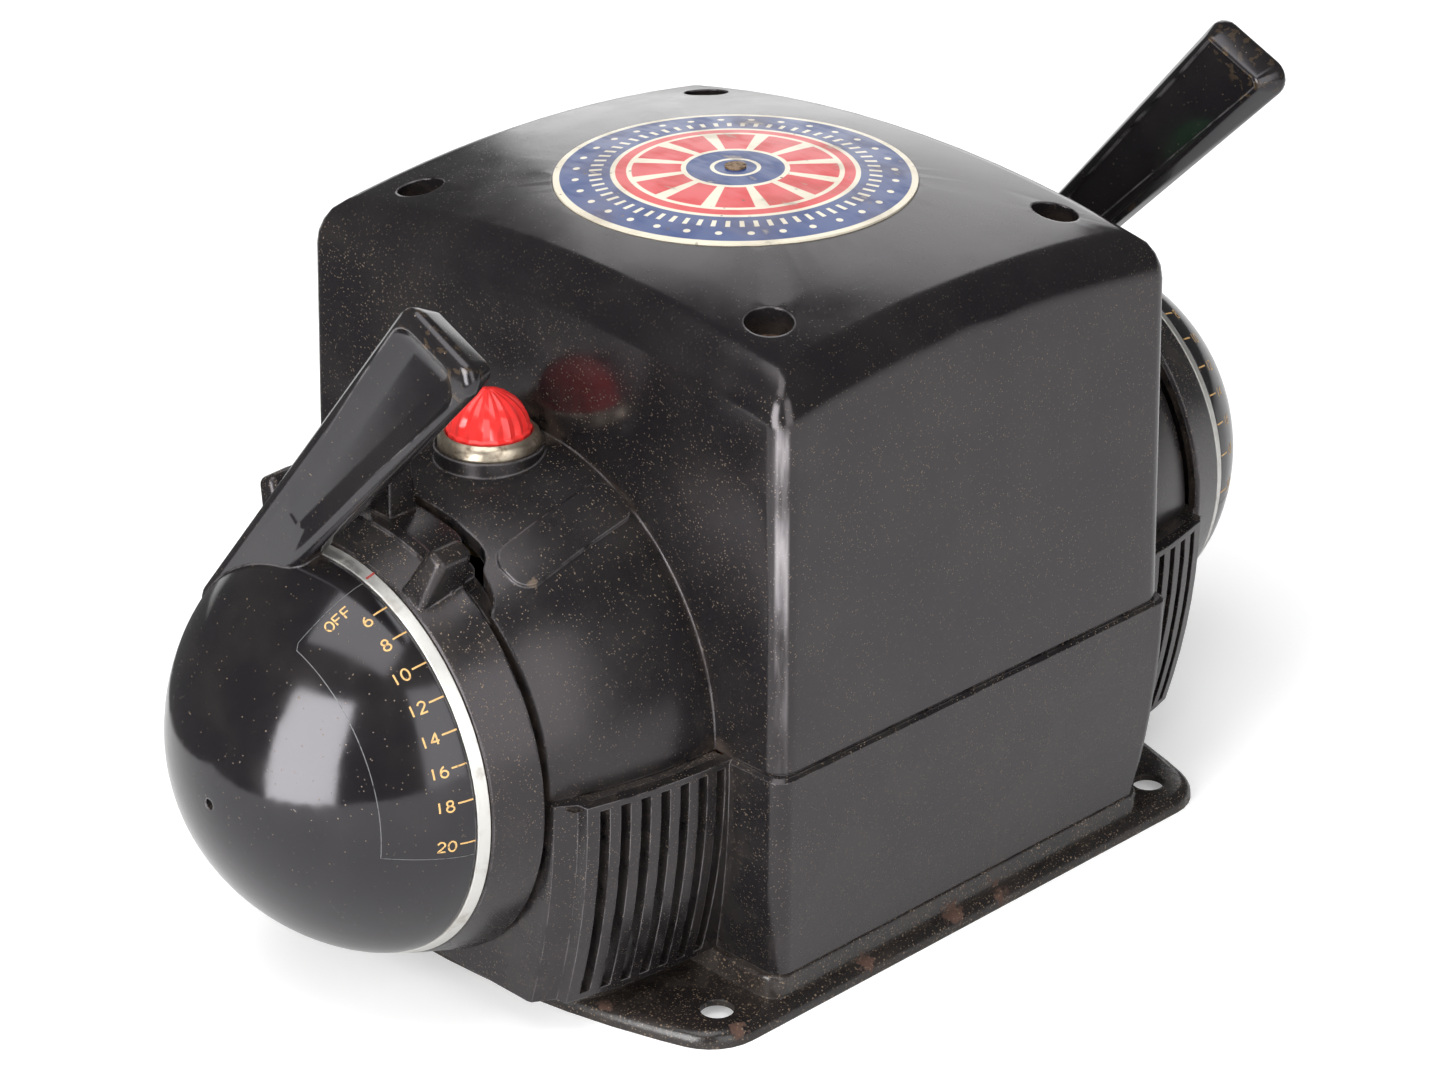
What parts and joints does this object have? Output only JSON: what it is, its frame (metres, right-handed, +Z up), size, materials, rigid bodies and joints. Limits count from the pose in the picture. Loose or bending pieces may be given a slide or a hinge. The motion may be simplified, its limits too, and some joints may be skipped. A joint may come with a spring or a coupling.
{
  "type": "train set controller",
  "caption": "Tabletop mains transformer for toy trains: tall moulded casing on a steel base, with a domed throttle lever, rocking controller ring and pilot lamp at each end.",
  "frame": {"origin": "on the table under the middle of the base plate, in line with the hub axis and the four mounting holes", "axes": "+X along the hub axis towards the right hub, -Y towards the front, +Z up"},
  "size_m": [0.3266, 0.174, 0.184],
  "materials": {
    "black_phenolic": "moulded, polished",
    "black_steel": "black enamel, worn",
    "plated_steel": "zinc plated",
    "rusty_steel": "rusted",
    "core_steel": "varnished laminations",
    "brass": "dull",
    "copper": "bright copper",
    "fibre": "fibre board",
    "varnished_wire": "varnished",
    "carbon": "carbon",
    "rubber": "soft",
    "index_aluminium": "satin",
    "nickel": "tarnished nickel",
    "printed_plate": "printed, satin",
    "red_lens": "pressed",
    "green_lens": "pressed",
    "bulb_glass": "clear"
  },
  "bodies": {
    "case": {"upper_casing": "black_phenolic", "lower_casing": "black_phenolic", "base_plate": "black_steel", "casing_screws": "rusty_steel", "screw_nuts": "plated_steel", "nameplate": "printed_plate", "nameplate_rivet": "rusty_steel", "laminated_core": "core_steel", "coil_bobbin": "fibre", "coil_winding": "varnished_wire", "commutator_faces": "copper", "core_frames": "plated_steel", "core_bolts": "brass", "frame_screws": "plated_steel", "rectifier_disc": "copper", "circuit_breaker": "fibre", "terminal_board": "fibre", "binding_posts": "brass", "thumb_nuts": "nickel", "cord_grommet": "rubber", "left_controller_spring": "plated_steel", "left_index_ring": "index_aluminium", "left_hub_bush": "brass", "left_bearing_bracket": "plated_steel", "left_lamp_bezel": "nickel", "left_lamp_bulb": "bulb_glass", "left_lamp_socket": "brass", "right_controller_spring": "plated_steel", "right_index_ring": "index_aluminium", "right_hub_bush": "brass", "right_bearing_bracket": "plated_steel", "right_lamp_bezel": "nickel", "right_lamp_bulb": "bulb_glass", "right_lamp_socket": "brass", "left_lamp_lens": "red_lens", "right_lamp_lens": "green_lens"},
    "left_throttle": {"left_throttle_lever": "black_phenolic", "left_throttle_shaft": "plated_steel", "left_contact_arm": "brass", "left_carbon_roller": "carbon"},
    "left_controller": {"left_controller_ring": "black_phenolic"},
    "right_throttle": {"right_throttle_lever": "black_phenolic", "right_throttle_shaft": "plated_steel", "right_contact_arm": "brass", "right_carbon_roller": "carbon"},
    "right_controller": {"right_controller_ring": "black_phenolic"}
  },
  "joints": [
    {"name": "left_throttle_turn", "type": "hinge", "parent": "case", "child": "left_throttle", "pos_m": [-0.09, 0, 0.0635], "axis": [-1, 0, 0], "range_deg": [0, 80]},
    {"name": "left_controller_rock", "type": "hinge", "parent": "case", "child": "left_controller", "pos_m": [-0.117, 0, 0.0635], "axis": [-1, 0, 0], "range_deg": [-6, 6], "stiffness_Nm_per_rad": 1.2},
    {"name": "right_throttle_turn", "type": "hinge", "parent": "case", "child": "right_throttle", "pos_m": [0.09, 0, 0.0635], "axis": [-1, 0, 0], "range_deg": [0, 80]},
    {"name": "right_controller_rock", "type": "hinge", "parent": "case", "child": "right_controller", "pos_m": [0.117, 0, 0.0635], "axis": [-1, 0, 0], "range_deg": [-6, 6], "stiffness_Nm_per_rad": 1.2}
  ]
}
